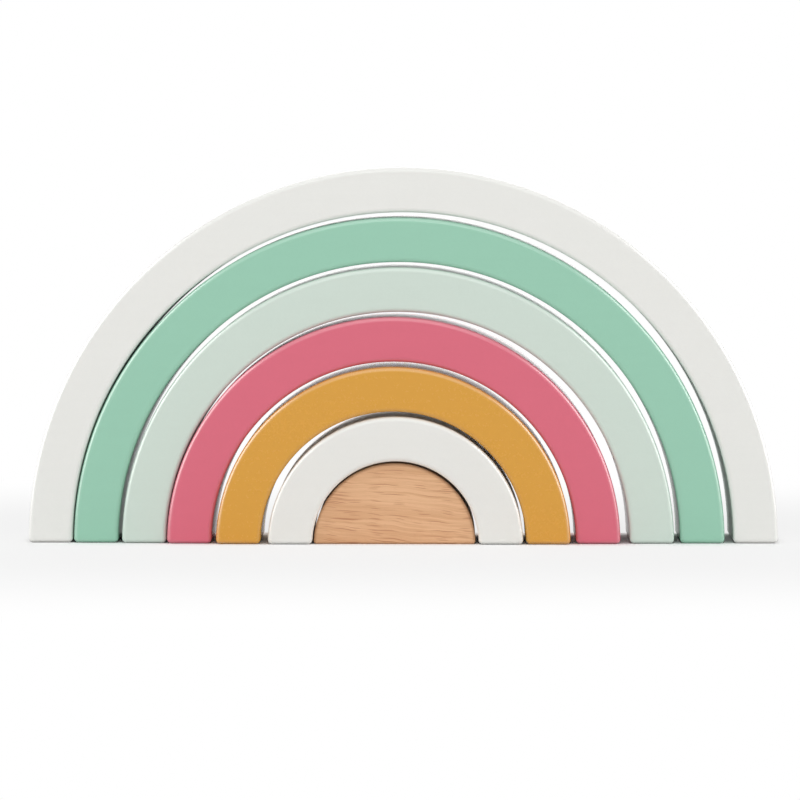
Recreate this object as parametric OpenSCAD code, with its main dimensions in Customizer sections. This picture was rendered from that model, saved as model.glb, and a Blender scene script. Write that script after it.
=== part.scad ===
// Nesting rainbow: six painted wooden arches that stand over one another
// and over a plain half-round core. Millimetres, floor at z = 0, front at -y.

/* [Pieces] */
// Radius of the plain half-round core
core_r = 32.3; // [24:0.1:44]
// Wall of every arch, from its inner curve to its outer curve
arch_wall = 17.8; // [10:0.2:26]
// Depth of every piece, from front face to back face
piece_depth = 40; // [25:1:70]

/* [Clearances] */
// Gap between one arch and the next when they stand on one centre
arch_gap = 2; // [0.8:0.1:4]
// Closer gap between the core and the smallest arch
core_gap = 0.9; // [0.6:0.1:3]

/* [Edges] */
// How far the sanded round reaches in from every edge
edge_ease = 1.5; // [0.8:0.1:2.5]
// Angle at which the sanded round leaves a face
ease_lead = 10; // [5:1:20]

/* [Hidden] */
$fn = 144;

// Half a turn: an arch runs from one foot over the top to the other
half_turn = 180;

// The order of the arches: each stands over the one before it
small_white = 0;
mustard = small_white + 1;
rose = mustard + 1;
pale_mint = rose + 1;
sea_green = pale_mint + 1;
large_white = sea_green + 1;

// How far each piece stands off centre in the gap around it, from the core
// outwards. Minus is to the left. The set was put together by hand, so no
// two gaps are alike, and a share below one never touches.
core_lean_share = -0.42;
arch_lean_shares = [0.46, -0.07, -0.85, -0.21, -0.77];

// How far each piece stands out in front of the largest arch, as a share of
// the depth. The inner pieces were set down a little farther forward.
core_forward_share = 0.1;
arch_forward_shares = [0.16, 0.14, 0.09, 0.05, 0.015, 0];

// Each arch stands one gap outside the arch before it
arch_pitch = arch_wall + arch_gap;
function inner_r(i) = core_r + core_gap + i * arch_pitch;
function outer_r(i) = inner_r(i) + arch_wall;

// The largest arch stands on the middle, and the others lean inside it
function arch_x(i) =
    i == large_white ? 0 : arch_x(i + 1) + arch_lean_shares[i] * arch_gap;
core_x = arch_x(small_white) + core_lean_share * core_gap;

// The foremost and the hindmost face lie equally far from the middle
nest_back =
    max(concat(arch_forward_shares, [core_forward_share])) * piece_depth / 2;
function arch_y(i) = nest_back - arch_forward_shares[i] * piece_depth;
core_y = nest_back - core_forward_share * piece_depth;

// The sanded round is an arc that meets both faces at the lead angle
ease_r = edge_ease / (cos(ease_lead) - sin(ease_lead));
ease_c = ease_r * cos(ease_lead);

// Cuts run this far past the face they start from
overrun = edge_ease;

// What sanding takes off a corner at the origin whose two faces run to
// -x and -y
module corner_waste() {
    translate([-ease_c, -ease_c])
        difference() {
            square(ease_c + overrun);
            circle(ease_r);
        }
}

// The corner of a piece seen from the front, carried through its depth.
// side is 1 where the wood lies to the left of the corner, -1 to the right.
module foot_waste(x, side) {
    rotate([90, 0, 0])
        linear_extrude(piece_depth + 2 * overrun, center = true)
            translate([x, 0])
                mirror([side < 0 ? 1 : 0, 0])
                    mirror([0, 1])
                        corner_waste();
}

// The front and back edges of the underside, carried across the piece
module underside_waste(r) {
    for (turn = [0, half_turn])
        rotate([0, 0, turn])
            rotate([90, 0, 90])
                linear_extrude(2 * (r + overrun), center = true)
                    translate([piece_depth / 2, 0])
                        mirror([0, 1])
                            corner_waste();
}

// A section from one radius to another, with its front and back corners
// sanded at each radius in the list
module section(from_r, to_r, outer_corners, inner_corners) {
    difference() {
        translate([from_r, -piece_depth / 2])
            square([to_r - from_r, piece_depth]);
        for (face = [0, 1])
            mirror([0, face])
                translate([0, piece_depth / 2]) {
                    for (r = outer_corners)
                        translate([r, 0])
                            corner_waste();
                    for (r = inner_corners)
                        translate([r, 0])
                            mirror([1, 0])
                                corner_waste();
                }
    }
}

// A section turned from the right foot over the top to the left foot
module turned_over() {
    rotate([90, 0, 0])
        rotate_extrude(angle = half_turn)
            children();
}

// One arch: a turned section, sanded round its two feet
module arch(i) {
    translate([arch_x(i), arch_y(i), 0])
        difference() {
            turned_over()
                section(inner_r(i), outer_r(i), [outer_r(i)], [inner_r(i)]);
            for (side = [-1, 1]) {
                foot_waste(side * outer_r(i), side);
                foot_waste(side * inner_r(i), -side);
            }
            underside_waste(outer_r(i));
        }
}

// The core: a half disc in bare wood, sanded like the arches
module plain_core() {
    color("burlywood")
        translate([core_x, core_y, 0])
            difference() {
                turned_over()
                    section(0, core_r, [core_r], []);
                for (side = [-1, 1])
                    foot_waste(side * core_r, side);
                underside_waste(core_r);
            }
}

// The arches over it, each in its own paint
module small_white_arch() {
    color("whitesmoke")
        arch(small_white);
}

module mustard_arch() {
    color("goldenrod")
        arch(mustard);
}

module rose_arch() {
    color("palevioletred")
        arch(rose);
}

module pale_mint_arch() {
    color("honeydew")
        arch(pale_mint);
}

module sea_green_arch() {
    color("mediumaquamarine")
        arch(sea_green);
}

module large_white_arch() {
    color("whitesmoke")
        arch(large_white);
}

plain_core();
small_white_arch();
mustard_arch();
rose_arch();
pale_mint_arch();
sea_green_arch();
large_white_arch();
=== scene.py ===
# %% [markdown]
# # A nesting rainbow
#
# The toy is a set of loose wooden pieces: a half-round block of bare beech and
# six painted arches, each just large enough to stand over the one before it.
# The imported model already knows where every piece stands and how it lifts, so
# it is loaded first and nothing below moves it. What this lesson adds is the
# finish: softly sanded edges, satin paint, beech grain and studio light.

import math

import bpy
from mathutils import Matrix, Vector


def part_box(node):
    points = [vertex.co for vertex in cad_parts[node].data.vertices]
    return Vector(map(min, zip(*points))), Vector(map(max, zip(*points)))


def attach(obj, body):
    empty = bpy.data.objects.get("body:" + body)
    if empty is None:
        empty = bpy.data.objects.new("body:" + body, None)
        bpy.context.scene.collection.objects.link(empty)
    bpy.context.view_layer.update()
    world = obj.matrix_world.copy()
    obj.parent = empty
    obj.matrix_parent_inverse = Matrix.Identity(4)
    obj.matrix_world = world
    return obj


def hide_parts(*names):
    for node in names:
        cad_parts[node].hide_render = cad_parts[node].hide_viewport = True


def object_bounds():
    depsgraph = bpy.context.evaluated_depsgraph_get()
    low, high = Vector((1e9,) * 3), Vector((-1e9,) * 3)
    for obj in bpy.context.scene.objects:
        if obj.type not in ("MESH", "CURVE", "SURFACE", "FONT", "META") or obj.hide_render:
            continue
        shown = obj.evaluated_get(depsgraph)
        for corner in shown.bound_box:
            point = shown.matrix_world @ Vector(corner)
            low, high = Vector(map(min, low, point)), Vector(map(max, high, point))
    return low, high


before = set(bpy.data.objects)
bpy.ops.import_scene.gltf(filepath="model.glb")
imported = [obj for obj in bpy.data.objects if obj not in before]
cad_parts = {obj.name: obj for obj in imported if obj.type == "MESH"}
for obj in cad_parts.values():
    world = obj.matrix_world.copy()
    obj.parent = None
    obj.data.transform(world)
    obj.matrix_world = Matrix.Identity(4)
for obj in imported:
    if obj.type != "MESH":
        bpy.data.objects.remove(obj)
cad_low, cad_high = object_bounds()
print("nodes:", sorted(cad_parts))
print("box:", tuple(cad_low), tuple(cad_high))

# %% [markdown]
# ## Sizes
#
# Every size comes from the model, so the finish fits if the model changes. All
# lengths are in metres. A box gives a piece's middle and depth, but not the
# radius of its hollow. The distances of an arch's corners from its own centre
# give both radii: the nearest corner lies on the inner curve and the farthest
# on the outer one. The core has no hollow, so only its outer radius is used.

# %% Measure the pieces
CORE = "plain_core"
ARCHES = [
    "small_white_arch",
    "mustard_arch",
    "rose_arch",
    "pale_mint_arch",
    "sea_green_arch",
    "large_white_arch",
]


def measure(node):
    low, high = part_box(node)
    x = (low.x + high.x) / 2
    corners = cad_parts[node].data.vertices
    reaches = [math.hypot(corner.co.x - x, corner.co.z) for corner in corners]
    return {
        "x": x,
        "y": (low.y + high.y) / 2,
        "depth": high.y - low.y,
        "inner": min(reaches),
        "outer": max(reaches),
    }


SIZES = {node: measure(node) for node in [CORE] + ARCHES}
for node, size in SIZES.items():
    print(node, {part: round(value, 4) for part, value in size.items()})

# %% [markdown]
# ## Working like a modeller
#
# Blender's operators act on whatever is selected, and the loaded model comes
# in selected. So each new piece starts by leaving edit mode and clearing the
# selection, and ends by saying what it has become.

# %% Start and end a piece
def clear_selection():
    if bpy.context.object and bpy.context.object.mode != "OBJECT":
        bpy.ops.object.mode_set(mode="OBJECT")
    bpy.ops.object.select_all(action="DESELECT")


def report(piece):
    print(piece.name, "has", len(piece.data.polygons), "faces")


# %% [markdown]
# ## Notes on the mesh
#
# A finish often depends on where on a piece it lies: paint wears on an edge,
# and wood looks different on its top. A mask could be worked out in the
# material, but the mesh knows best, so each piece carries notes on its corners.
#
# "sanded" is 1 half way round a sanded edge and 0 on the faces on both sides
# of it. It follows from how far a corner's normal turns away from the front,
# less the little that the corners of a flat face turn. An edge that faces the
# hollow lies in the shade of the next piece, so its note is lower: that keeps
# the painted highlight and the polish mostly off it. "level" is 1 where the
# surface lies level and 0 where it stands upright.

# %% Leave notes on a piece
FACE_TURN = 0.2
SHADED_EDGE_SHARE = 0.35


def note_sanded(piece, middle):
    sanded = piece.data.attributes.new("sanded", "FLOAT", "POINT")
    for corner in piece.data.vertices:
        facing = min(1.0, abs(corner.normal.y))
        turned = 2 * facing * math.sqrt(1 - facing * facing)
        polish_and_painted_light = max(0.0, turned - FACE_TURN) / (1 - FACE_TURN)
        sideways = corner.normal.x * (corner.co.x - middle)
        outwards = sideways + corner.normal.z * corner.co.z
        sanded.data[corner.index].value = polish_and_painted_light if outwards > 0 else polish_and_painted_light * SHADED_EDGE_SHARE


def note_level(piece):
    level = piece.data.attributes.new("level", "FLOAT", "POINT")
    for corner in piece.data.vertices:
        level.data[corner.index].value = abs(corner.normal.z)


# %% [markdown]
# ## Sanding
#
# The real pieces are sanded by hand until no edge is sharp. That could be a
# Bevel modifier or the bevel operator. The operator is used because only the
# edges that are sharp at that moment should be rounded, and they can be
# selected by their angle. The mesh is closed first, since a bevel on a seam
# would tear it. Weighted normals then keep the wide faces flat and let only
# the rounds shade softly.

# %% Close and sand a piece
SAME_POINT = 0.00001
SHARP_FROM = math.radians(50)
SANDED_STEPS = 8
ROUND_PROFILE = 0.5
WIDE_FACES_LEAD = 100


def close_and_sand(piece, middle, edge):
    bpy.ops.mesh.select_all(action="SELECT")
    bpy.ops.mesh.remove_doubles(threshold=SAME_POINT)
    bpy.ops.mesh.normals_make_consistent(inside=False)
    bpy.ops.mesh.select_all(action="DESELECT")
    bpy.ops.mesh.select_mode(type="EDGE")
    bpy.ops.mesh.edges_select_sharp(sharpness=SHARP_FROM)
    bpy.ops.mesh.bevel(
        offset=edge,
        segments=SANDED_STEPS,
        profile=ROUND_PROFILE,
        affect="EDGES",
        clamp_overlap=True,
    )
    bpy.ops.object.mode_set(mode="OBJECT")
    note_sanded(piece, middle)
    bpy.ops.object.shade_smooth()
    weighted = piece.modifiers.new("even_shading", "WEIGHTED_NORMAL")
    weighted.keep_sharp = True
    weighted.weight = WIDE_FACES_LEAD
    bpy.ops.object.modifier_apply(modifier=weighted.name)


# %% [markdown]
# ## The arches
#
# A real arch is sawn from a thick beech board, turned or routed to its two
# curves and sanded. In Blender it could be a cylinder with a hole cut in it,
# or a curve with thickness. Here the footprint of one foot is drawn as a flat
# rectangle and spun half a turn about the middle of the arch, which gives both
# curves and both feet at once, with clean rings of faces and no boolean. The
# first and the last step are set apart from the rest and are a little longer
# than the sanded edge is wide, so that the bevel at a foot has room.

# %% Spin the arches
ARCH_EDGE = 0.0019
ARCH_STEPS = 180
FOOT_ROOM = 1.2


def spin_arch(node):
    size = SIZES[node]
    wall = size["outer"] - size["inner"]
    foot_x = size["x"] + size["inner"] + wall / 2
    foot_turn = FOOT_ROOM * ARCH_EDGE / size["inner"]
    turns = [(1, foot_turn), (ARCH_STEPS, math.pi - 2 * foot_turn), (1, foot_turn)]
    clear_selection()
    bpy.ops.mesh.primitive_plane_add(size=1, location=(foot_x, size["y"], 0))
    piece = bpy.context.object
    piece.name = "painted_" + node
    piece.scale = (wall, size["depth"], 1)
    bpy.ops.object.transform_apply(location=True, rotation=True, scale=True)
    bpy.ops.object.mode_set(mode="EDIT")
    bpy.ops.mesh.select_all(action="SELECT")
    for steps, angle in turns:
        bpy.ops.mesh.spin(
            steps=steps,
            angle=angle,
            center=(size["x"], size["y"], 0),
            axis=(0, 1, 0),
        )
    close_and_sand(piece, size["x"], ARCH_EDGE)
    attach(piece, node)
    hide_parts(node)
    report(piece)
    return piece


arches = {node: spin_arch(node) for node in ARCHES}

# %% [markdown]
# ## The core
#
# The smallest piece is a half disc of bare wood. It could be spun like the
# arches, but then all its faces would meet in one point. A cylinder lying on
# its side, cut level at the floor with bisect, has the same curve, and the cut
# is its flat underside. In the photo its edge is rounded less than the edges of
# the arches, so its round is narrower.

# %% Cut the core from a cylinder
CORE_EDGE = 0.0012
CORE_CORNERS = 120


def cut_core():
    size = SIZES[CORE]
    clear_selection()
    bpy.ops.mesh.primitive_cylinder_add(
        vertices=CORE_CORNERS,
        radius=size["outer"],
        depth=size["depth"],
        location=(size["x"], size["y"], 0),
        rotation=(math.pi / 2, 0, 0),
    )
    piece = bpy.context.object
    piece.name = "beech_core"
    bpy.ops.object.transform_apply(location=True, rotation=True, scale=True)
    bpy.ops.object.mode_set(mode="EDIT")
    bpy.ops.mesh.select_all(action="SELECT")
    bpy.ops.mesh.bisect(
        plane_co=(0, 0, 0),
        plane_no=(0, 0, 1),
        use_fill=True,
        clear_inner=True,
    )
    close_and_sand(piece, size["x"], CORE_EDGE)
    note_level(piece)
    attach(piece, CORE)
    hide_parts(CORE)
    report(piece)
    return piece


core = cut_core()

# %% [markdown]
# ## Writing shaders as sums
#
# A material is a web of nodes, and wiring it by hand hides what it does. The
# class below wraps a node's output, so that `1 - mask` or `grain * 0.2` adds
# the Math node it needs.

# %% A value that can be added and multiplied
class Value:
    def __init__(self, wiring, socket):
        self.wiring = wiring
        self.socket = socket

    def __add__(self, other):
        return self.wiring.maths("ADD", self, other)

    def __radd__(self, other):
        return self.wiring.maths("ADD", other, self)

    def __sub__(self, other):
        return self.wiring.maths("SUBTRACT", self, other)

    def __rsub__(self, other):
        return self.wiring.maths("SUBTRACT", other, self)

    def __mul__(self, other):
        return self.wiring.maths("MULTIPLY", self, other)

    def __rmul__(self, other):
        return self.wiring.maths("MULTIPLY", other, self)


# %% [markdown]
# ## One way to make any node
#
# Every other node comes from one method that takes its type, its settings and
# what goes into its sockets. Settings come first, because they decide which
# sockets a node shows. A material and the world are wired in the same way.

# %% Wire the nodes
class Wiring:
    def __init__(self, owner):
        self.owner = owner
        self.owner.use_nodes = True
        self.tree = self.owner.node_tree
        self.tree.nodes.clear()

    def node(self, kind, settings=None, inputs=None, out=0):
        made = self.tree.nodes.new(kind)
        for setting, value in (settings or {}).items():
            setattr(made, setting, value)
        for socket, value in (inputs or {}).items():
            self.feed(self.pick(made.inputs, socket), value)
        if made.outputs:
            return Value(self, self.pick(made.outputs, out))

    def also(self, value, out):
        return Value(self, self.pick(value.socket.node.outputs, out))

    def pick(self, sockets, key):
        shown = [socket for socket in sockets if socket.enabled]
        if isinstance(key, int):
            return shown[key]
        return next(socket for socket in shown if socket.name == key)

    def feed(self, socket, value):
        if isinstance(value, Value):
            self.tree.links.new(value.socket, socket)
        else:
            socket.default_value = value

    def maths(self, operation, first, second):
        settings = {"operation": operation}
        return self.node("ShaderNodeMath", settings, {0: first, 1: second})

    def finish_with(self, shader, output="ShaderNodeOutputMaterial"):
        self.node(output, None, {"Surface": shader})
        print(self.owner.name, "has", len(self.tree.nodes), "nodes")
        return self.owner


# %% [markdown]
# ## A painter's tools
#
# Paint, wood and floor are mixed with the same few tools: the place of a point
# on its piece, the notes left on the mesh, noise, a soft step from 0 to 1, a
# blend of two colours, and a bump. Noise is given in spots per metre along
# each axis, so a pattern has the size of the real one on every piece. It lies
# around one half, and spread widens it to the whole way from 0 to 1.

# %% Tools for a finish
MIDDLE = 0.5


class Finish(Wiring):
    def __init__(self, name):
        super().__init__(bpy.data.materials.new(name))

    def place(self):
        return self.node("ShaderNodeTexCoord", out="Object")

    def note(self, name):
        return self.node("ShaderNodeAttribute", {"attribute_name": name}, out="Fac")

    def part(self, vector, axis):
        return self.node("ShaderNodeSeparateXYZ", None, {0: vector}, axis)

    def vector(self, operation, *values, out="Vector"):
        settings = {"operation": operation}
        return self.node("ShaderNodeVectorMath", settings, dict(enumerate(values)), out)

    def noise(self, vector, per_metre, detail, roughness=0.5):
        inputs = {
            "Vector": self.vector("MULTIPLY", vector, per_metre),
            "Scale": 1.0,
            "Detail": detail,
            "Roughness": roughness,
        }
        return self.node("ShaderNodeTexNoise", None, inputs)

    def ramp(self, value, low, high):
        settings = {"interpolation_type": "SMOOTHSTEP"}
        inputs = {"Value": value, "From Min": low, "From Max": high}
        return self.node("ShaderNodeMapRange", settings, inputs)

    def spread(self, noise, reach):
        return self.ramp(noise, MIDDLE - reach, MIDDLE + reach)

    def blend(self, mask, first, second):
        settings = {"data_type": "RGBA"}
        inputs = {"Factor": mask, "A": first, "B": second}
        return self.node("ShaderNodeMix", settings, inputs)

    def bump(self, height, distance):
        inputs = {"Strength": 1.0, "Distance": distance, "Height": height}
        return self.node("ShaderNodeBump", None, inputs)


# %% [markdown]
# ## Colours
#
# Colours are easiest to read as they look on a screen, with levels from 0 to
# 255. A shader works with amounts of light instead, so each level goes through
# the screen's own curve, the one that is called sRGB.

# %% Turn screen levels into light
def linear(red, green, blue):
    def channel(level):
        share = level / 255
        if share <= 0.04045:
            return share / 12.92
        return ((share + 0.055) / 1.055) ** 2.4

    return (channel(red), channel(green), channel(blue), 1.0)


def shade(colour, share):
    return tuple(min(1.0, part * share) for part in colour[:3]) + (1.0,)


def grey(light):
    return (light, light, light, 1.0)


# %% [markdown]
# ## Satin paint
#
# The arches are sprayed with a thin satin paint. It isn't dead flat: it dries
# with a faint skin like orange peel, specks of dust lie in it, and the grain of
# the board shows through as long low ridges. Handling has polished the sanded
# edges: the polish is the shader's coat, a second clear layer that catches a
# thin highlight. Along the sanded edges the colour is also lifted toward a pale
# tint, broken up along the grain: a painted highlight. The lowest millimetre of
# the feet is painted darker: a painted shade where they stand on the table.
#
# A picture of the paint could show all this, but it fits one piece only. Here
# each effect is one noise or one note at its own real size, added up into the
# colour, the roughness and the bump, and it fits every arch.

# %% Patterns and wear in the paint
PEEL = {"per_metre": (620, 620, 620), "detail": 2.0}
GRAIN = {"per_metre": (22, 420, 420), "detail": 3.0}
DUST = {"per_metre": (1500, 1500, 1500), "detail": 1.0}
PEEL_SHARE = 0.3
GRAIN_SHARE = 0.35
DUST_SHARE = 0.35
TONE_REACH = 0.2
TONE_CHANGE = 0.009
GLOSS_CHANGE = 0.06
PEEL_HEIGHT = 0.00002
GRAIN_HEIGHT_SHARE = 0.5
RIM_HIGHLIGHT_TINT = linear(240, 237, 232)
RIM_HIGHLIGHT_SHOWING = 0.06
HIGHLIGHT_ALL_ALONG = 0.6
HIGHLIGHT_ON_RIDGES = 0.4
RIDGE_REACH = 0.15
POLISH_ROUGHNESS = 0.2
POLISH_IOR = 1.6
FOOT_SHADE_FROM = 0.0003
FOOT_SHADE_TO = 0.0013
FOOT_SHADE_SHOWING = 0.35
FOOT_SHADE_LEVEL = 0.2


def satin_paint(name, colour, roughness):
    finish = Finish(name)
    place = finish.place()
    peel = finish.noise(place, **PEEL)
    grain = finish.noise(place, **GRAIN)
    dust = finish.noise(place, **DUST)
    tone = peel * PEEL_SHARE + grain * GRAIN_SHARE + dust * DUST_SHARE
    darker = shade(colour, 1 - TONE_CHANGE)
    lighter = shade(colour, 1 + TONE_CHANGE)
    body = finish.blend(finish.spread(tone, TONE_REACH), darker, lighter)
    polish_and_painted_light = finish.note("sanded")
    ridges = finish.spread(grain, RIDGE_REACH)
    # Painted highlight: along the sanded edges the colour is lifted toward a pale tint,
    # broken up along the grain.
    rim_highlight = polish_and_painted_light * (HIGHLIGHT_ALL_ALONG + ridges * HIGHLIGHT_ON_RIDGES)
    rim_highlighted = finish.blend(rim_highlight * RIM_HIGHLIGHT_SHOWING, body, RIM_HIGHLIGHT_TINT)
    # Painted shade: the lowest millimetre of the feet is darkened where they meet the
    # table.
    above_foot_shade = finish.ramp(finish.part(place, "Z"), FOOT_SHADE_FROM, FOOT_SHADE_TO)
    foot_shade = (1 - above_foot_shade) * FOOT_SHADE_SHOWING
    painted = finish.blend(foot_shade, rim_highlighted, shade(colour, FOOT_SHADE_LEVEL))
    relief = peel + grain * GRAIN_HEIGHT_SHARE
    shader = finish.node(
        "ShaderNodeBsdfPrincipled",
        None,
        {
            "Base Color": painted,
            "Roughness": roughness + (tone - MIDDLE) * GLOSS_CHANGE,
            "Normal": finish.bump(relief, PEEL_HEIGHT),
            "Coat Weight": polish_and_painted_light,
            "Coat Roughness": POLISH_ROUGHNESS,
            "Coat IOR": POLISH_IOR,
        },
    )
    return finish.finish_with(shader)


# %% [markdown]
# ## Five paints for six arches
#
# The two white arches share one paint. Each colour could be a material of its
# own, wired by hand, but real paints of one kind differ only in pigment and
# gloss, so one recipe takes a colour and a roughness. The colours are glossier
# than the white, which can be seen in how much light their gaps pass on.

# %% Mix the paints and coat the arches
PAINTS = {
    "warm_white_paint": {"colour": linear(228, 228, 224), "roughness": 0.42},
    "mustard_paint": {"colour": linear(213, 154, 52), "roughness": 0.27},
    "rose_paint": {"colour": linear(214, 101, 121), "roughness": 0.25},
    "pale_mint_paint": {"colour": linear(202, 216, 206), "roughness": 0.25},
    "sea_green_paint": {"colour": linear(148, 198, 174), "roughness": 0.25},
}
PAINT_SLOTS = {
    "small_white_arch": "warm_white_paint",
    "mustard_arch": "mustard_paint",
    "rose_arch": "rose_paint",
    "pale_mint_arch": "pale_mint_paint",
    "sea_green_arch": "sea_green_paint",
    "large_white_arch": "warm_white_paint",
}
paints = {slot: satin_paint(slot, **paint) for slot, paint in PAINTS.items()}
for node, slot in PAINT_SLOTS.items():
    arches[node].data.materials.append(paints[slot])

# %% [markdown]
# ## The rays of beech
#
# Beech is pale and even, and it is known by its rays: thin dark dashes a few
# millimetres long that lie along the grain. They are ribbons in the wood, so
# one pattern in space gives all sides: dashes on the front, wider flecks on
# top and fine lines on the end grain. They could be drawn on each side, but
# then they would not meet at the edges.
#
# A cell pattern stretched along the grain makes one ray per cell, and leaving
# some of the cells empty spaces them as in the real wood. Where the surface
# lies level, a ray would be seen flat on as a broad dark oval, so rays fade
# there. All of it follows a grain that slopes and waves a little.

# %% Grain and rays
WAVE = {"per_metre": (40, 25, 60), "detail": 2.0}
WAVE_HEIGHT = 0.0045
GRAIN_SLOPE = 0.07
LONG_RAYS = {"per_metre": (46, 30, 1700), "empty": 0.45}
SHORT_RAYS = {"per_metre": (110, 45, 1900), "empty": 0.5}
SHORT_RAY_SHARE = 0.8
RAY_CHOICE = 0.2
RAY_THIN = 0.18
RAY_THICK = 0.36
FLAT_FROM = 0.75
FLAT_TO = 1.0
FLAT_FADE = 0.8


def sloping_grain(finish):
    place = finish.place()
    wave = finish.noise(place, **WAVE)
    rise = finish.part(place, "X") * GRAIN_SLOPE + (wave - MIDDLE) * WAVE_HEIGHT
    lift = finish.node("ShaderNodeCombineXYZ", None, {"Z": rise})
    return finish.vector("ADD", place, lift)


def some_rays(finish, grain, per_metre, empty):
    cells = finish.vector("MULTIPLY", grain, per_metre)
    inputs = {"Vector": cells, "Scale": 1.0}
    apart = finish.node("ShaderNodeTexVoronoi", {"feature": "F1"}, inputs, "Distance")
    lot = finish.also(apart, "Color")
    chance = finish.node("ShaderNodeSeparateColor", None, {"Color": lot}, "Red")
    chosen = finish.ramp(chance, empty, empty + RAY_CHOICE)
    return chosen * (1 - finish.ramp(apart, RAY_THIN, RAY_THICK))


def beech_rays(finish, grain):
    long_rays = some_rays(finish, grain, **LONG_RAYS)
    short_rays = some_rays(finish, grain, **SHORT_RAYS) * SHORT_RAY_SHARE
    flat_on = finish.ramp(finish.note("level"), FLAT_FROM, FLAT_TO)
    return finish.maths("MAXIMUM", long_rays, short_rays) * (1 - flat_on * FLAT_FADE)


# %% [markdown]
# ## Bare beech
#
# The rays lie over fine fibres, pores and a broad drift of tone from the rings
# of the tree. The core isn't varnished: it is dull, and only the rays shine a
# little. Its sanded edge is painted darker all round: a painted shade at the rim.

# %% Season the beech
RING = {"per_metre": (8, 60, 90), "detail": 2.0}
STREAK = {"per_metre": (35, 220, 1500), "detail": 3.0, "roughness": 0.6}
PORE = {"per_metre": (500, 2600, 2600), "detail": 1.0}
RING_SHARE = 0.25
STREAK_SHARE = 0.75
WOOD_REACH = 0.16
DARK_WOOD = linear(208, 159, 118)
PALE_WOOD = linear(226, 181, 140)
PORE_FROM = 0.6
PORE_TO = 0.75
PORE_SHOWING = 0.2
PORE_COLOUR = linear(186, 132, 92)
RAY_SHOWING = 0.65
RAY_COLOUR = linear(166, 103, 68)
RIM_SHADE_SHOWING = 0.25
RIM_SHADE_COLOUR = linear(120, 82, 54)
BEECH_ROUGHNESS = 0.52
RAY_GLOSS = 0.08
BEECH_HEIGHT = 0.00003
PORE_DEPTH = 0.5
RAY_DEPTH = 0.4
BEECH_SPECULAR = 0.4


def bare_beech(name):
    finish = Finish(name)
    grain = sloping_grain(finish)
    rays = beech_rays(finish, grain)
    ring = finish.noise(grain, **RING)
    streak = finish.noise(grain, **STREAK)
    pore = finish.noise(grain, **PORE)
    tone = ring * RING_SHARE + streak * STREAK_SHARE
    wood = finish.blend(finish.spread(tone, WOOD_REACH), DARK_WOOD, PALE_WOOD)
    pores = finish.ramp(pore, PORE_FROM, PORE_TO) * PORE_SHOWING
    porous = finish.blend(pores, wood, PORE_COLOUR)
    flecked = finish.blend(rays * RAY_SHOWING, porous, RAY_COLOUR)
    # Painted shade: the sanded edge of the core is darkened toward a deep brown.
    rim_shade = finish.note("sanded") * RIM_SHADE_SHOWING
    rim_shaded = finish.blend(rim_shade, flecked, RIM_SHADE_COLOUR)
    relief = streak - pore * PORE_DEPTH - rays * RAY_DEPTH
    shader = finish.node(
        "ShaderNodeBsdfPrincipled",
        None,
        {
            "Base Color": rim_shaded,
            "Roughness": BEECH_ROUGHNESS - rays * RAY_GLOSS,
            "Normal": finish.bump(relief, BEECH_HEIGHT),
            "Specular IOR Level": BEECH_SPECULAR,
        },
    )
    return finish.finish_with(shader)


core.data.materials.append(bare_beech("bare_beech"))

# %% [markdown]
# ## Floor
#
# The toy stands on a white sweep of paper. A lit white floor alone would show
# its end, and turning up the lamps until it is white would bleach the toy.
#
# So the floor is a real matt surface under the toy, where it takes the dark
# lines at the feet. Just outside, most of what the camera sees is a pale grey,
# a painted shade around the toy, and the rest is the real soft shadow. Farther
# out the painted shade fades to plain white, which hides the floor's end. Light
# Path tells which rays come from the camera or from a shiny or clear surface:
# only those see the plain tones, so they add no light to the toy.

# %% Lay the floor
FLOOR_SIZE = 8.0
FLOOR_TONE = 0.93
HALF_FOOTPRINT = ((cad_high.x - cad_low.x) / 2, (cad_high.y - cad_low.y) / 2, 0)
PALE_FROM = 0.0
PALE_TO = 0.004
PALE_SHARE = 0.8
PAINTED_SHADE_TONE = 0.915
WHITE_FROM = 0.05
WHITE_TO = 0.25
WHITE = grey(1.0)


def seen(wiring):
    straight = wiring.node("ShaderNodeLightPath", out="Is Camera Ray")
    shiny = wiring.also(straight, "Is Glossy Ray")
    clear = wiring.also(straight, "Is Transmission Ray")
    return wiring.maths("MAXIMUM", straight, wiring.maths("MAXIMUM", shiny, clear))


def white_floor(name):
    finish = Finish(name)
    aside = finish.vector("ABSOLUTE", finish.place())
    past = finish.vector("SUBTRACT", aside, HALF_FOOTPRINT)
    outside = finish.vector("MAXIMUM", past, (0, 0, 0))
    away = finish.vector("LENGTH", outside, out="Value")
    pale = finish.ramp(away, PALE_FROM, PALE_TO) * PALE_SHARE
    white = finish.ramp(away, WHITE_FROM, WHITE_TO)
    matt = finish.node("ShaderNodeBsdfDiffuse", None, {"Color": grey(FLOOR_TONE)})
    # Painted shade: near the toy the camera sees a pale grey, which fades to white farther
    # out.
    tone = finish.blend(white, grey(PAINTED_SHADE_TONE), WHITE)
    plain = finish.node("ShaderNodeEmission", None, {"Color": tone, "Strength": 1.0})
    mask = (pale + white * (1 - PALE_SHARE)) * seen(finish)
    mixed = finish.node("ShaderNodeMixShader", None, {0: mask, 1: matt, 2: plain})
    return finish.finish_with(mixed)


clear_selection()
bpy.ops.mesh.primitive_plane_add(size=FLOOR_SIZE, location=(0, 0, 0))
floor = bpy.context.object
floor.name = "floor"
floor.data.materials.append(white_floor("white_floor"))

# %% [markdown]
# ## Background
#
# Behind the floor is the world, a white room without walls. It is treated in
# the same way: plain white for whatever looks at it, and dimmer for the light
# that it throws on the toy, so that the lamps still shape the pieces.

# %% Wrap the world around the toy
WORLD_LIGHT = 0.55

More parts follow.
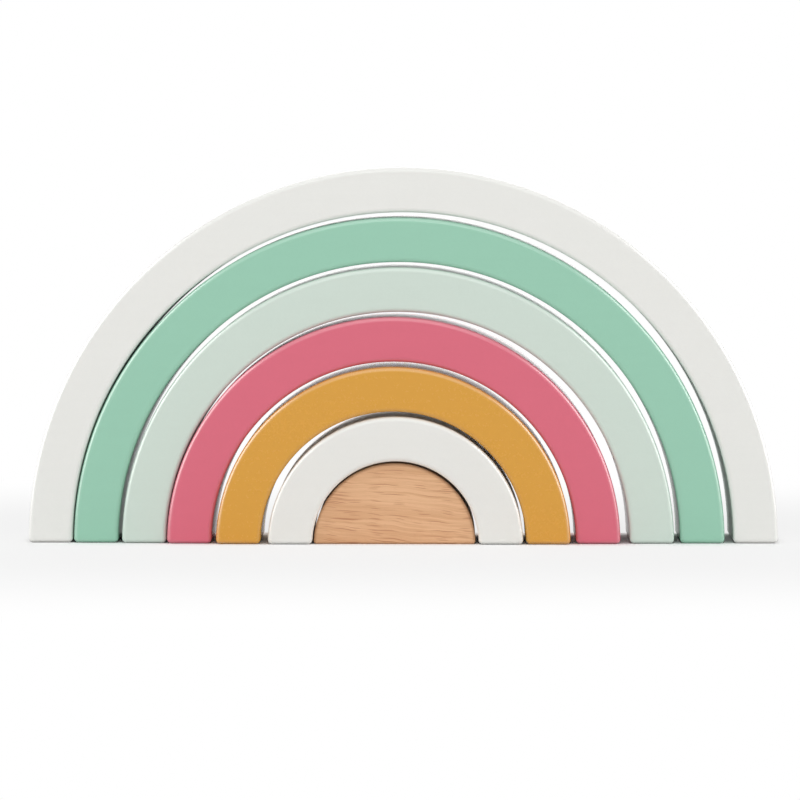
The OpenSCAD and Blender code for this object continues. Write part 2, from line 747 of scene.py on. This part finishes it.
studio = Wiring(bpy.data.worlds.new("white_studio"))
strength = WORLD_LIGHT + seen(studio) * (1 - WORLD_LIGHT)
inputs = {"Color": WHITE, "Strength": strength}
background = studio.node("ShaderNodeBackground", None, inputs)
bpy.context.scene.world = studio.finish_with(background, "ShaderNodeOutputWorld")

# %% [markdown]
# ## Lamps
#
# The faces in the photo are lit evenly, and a thin highlight runs along the
# left and the right rim of every arch, with little at the top. Lamps strong
# enough to draw such highlights would bleach the faces.
#
# So there are two kinds of large soft lamp. Four plain ones, in front, on both
# sides and behind, light the toy from all round at an even level. Three more,
# on both sides and overhead, throw no matt light and are seen only as
# reflections: they draw the highlights on the polished edges. Each is placed
# by how far it is turned from the front and how high it rises, in degrees.

# %% Hang the lamps
LAMP_DISTANCE = 2.5
LAMPS = {
    "front_lamp": {"side": 0, "rise": 40, "width": 1.8, "watts": 10},
    "left_lamp": {"side": -70, "rise": 28, "width": 1.8, "watts": 21},
    "right_lamp": {"side": 70, "rise": 28, "width": 1.8, "watts": 19.5},
    "back_lamp": {"side": 180, "rise": 15, "width": 2.4, "watts": 19},
    "left_shine": {"side": -88, "rise": 23, "width": 2.4, "watts": 46, "shine": True},
    "right_shine": {"side": 88, "rise": 23, "width": 2.4, "watts": 46, "shine": True},
    "top_shine": {"side": 180, "rise": 85, "width": 2.4, "watts": 8, "shine": True},
}


def hang_lamp(name, side, rise, width, watts, shine=False):
    turn = math.radians(side)
    tilt = math.radians(rise)
    level = math.cos(tilt) * LAMP_DISTANCE
    clear_selection()
    bpy.ops.object.light_add(
        type="AREA",
        location=(
            math.sin(turn) * level,
            -math.cos(turn) * level,
            math.sin(tilt) * LAMP_DISTANCE,
        ),
    )
    lamp = bpy.context.object
    lamp.name = name
    lamp.data.shape = "SQUARE"
    lamp.data.size = width
    lamp.data.energy = watts
    lamp.visible_camera = False
    lamp.visible_diffuse = not shine
    lamp.rotation_euler = lamp.location.to_track_quat("Z", "Y").to_euler()
    print(name, "at", tuple(round(part, 2) for part in lamp.location))


for name, settings in LAMPS.items():
    hang_lamp(name, **settings)

# %% [markdown]
# ## Camera
#
# The photo looks at the front from a little above, a little to the right of
# the middle and from far away: the side walls of the gaps show only as thin
# bands. So the camera stands well back with a long lens. Its aim and lens come
# from where the front of the largest arch lies in the picture, a square of 800
# by 800 points: how many metres one point covers there, and which points the
# floor and the middle of the toy fall on.

# %% Set the camera
PICTURE = 800
SENSOR = 36
METRES_PER_POINT = 0.000399
FLOOR_POINT = 542.9
MIDDLE_POINT = 402.8
CAMERA_DISTANCE = 1.6
CAMERA_HEIGHT = 0.165
CAMERA_SIDE = 0.02


def set_camera():
    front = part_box("large_white_arch")[0].y
    aim_x = (PICTURE / 2 - MIDDLE_POINT) * METRES_PER_POINT
    turn = math.atan2(CAMERA_SIDE - aim_x, CAMERA_DISTANCE)
    below_middle = (FLOOR_POINT - PICTURE / 2) * METRES_PER_POINT
    floor_drop = math.atan2(CAMERA_HEIGHT, CAMERA_DISTANCE)
    drop = floor_drop - math.atan2(below_middle, CAMERA_DISTANCE)
    reach = CAMERA_DISTANCE / math.cos(drop)
    clear_selection()
    bpy.ops.object.camera_add(
        location=(CAMERA_SIDE, front - CAMERA_DISTANCE, CAMERA_HEIGHT),
        rotation=(math.pi / 2 - drop, 0, turn),
    )
    camera = bpy.context.object
    camera.data.sensor_width = SENSOR
    camera.data.lens = SENSOR * reach / (PICTURE * METRES_PER_POINT)
    bpy.context.scene.camera = camera
    print("lens", round(camera.data.lens, 1), "mm")
    print("looking down", round(math.degrees(drop), 2), "degrees")


set_camera()

# %% [markdown]
# ## Finish
#
# Colours should come out as they are written, so the picture is shown with the
# Standard view.

# %% Show colours as they are written
bpy.context.scene.view_settings.view_transform = "Standard"
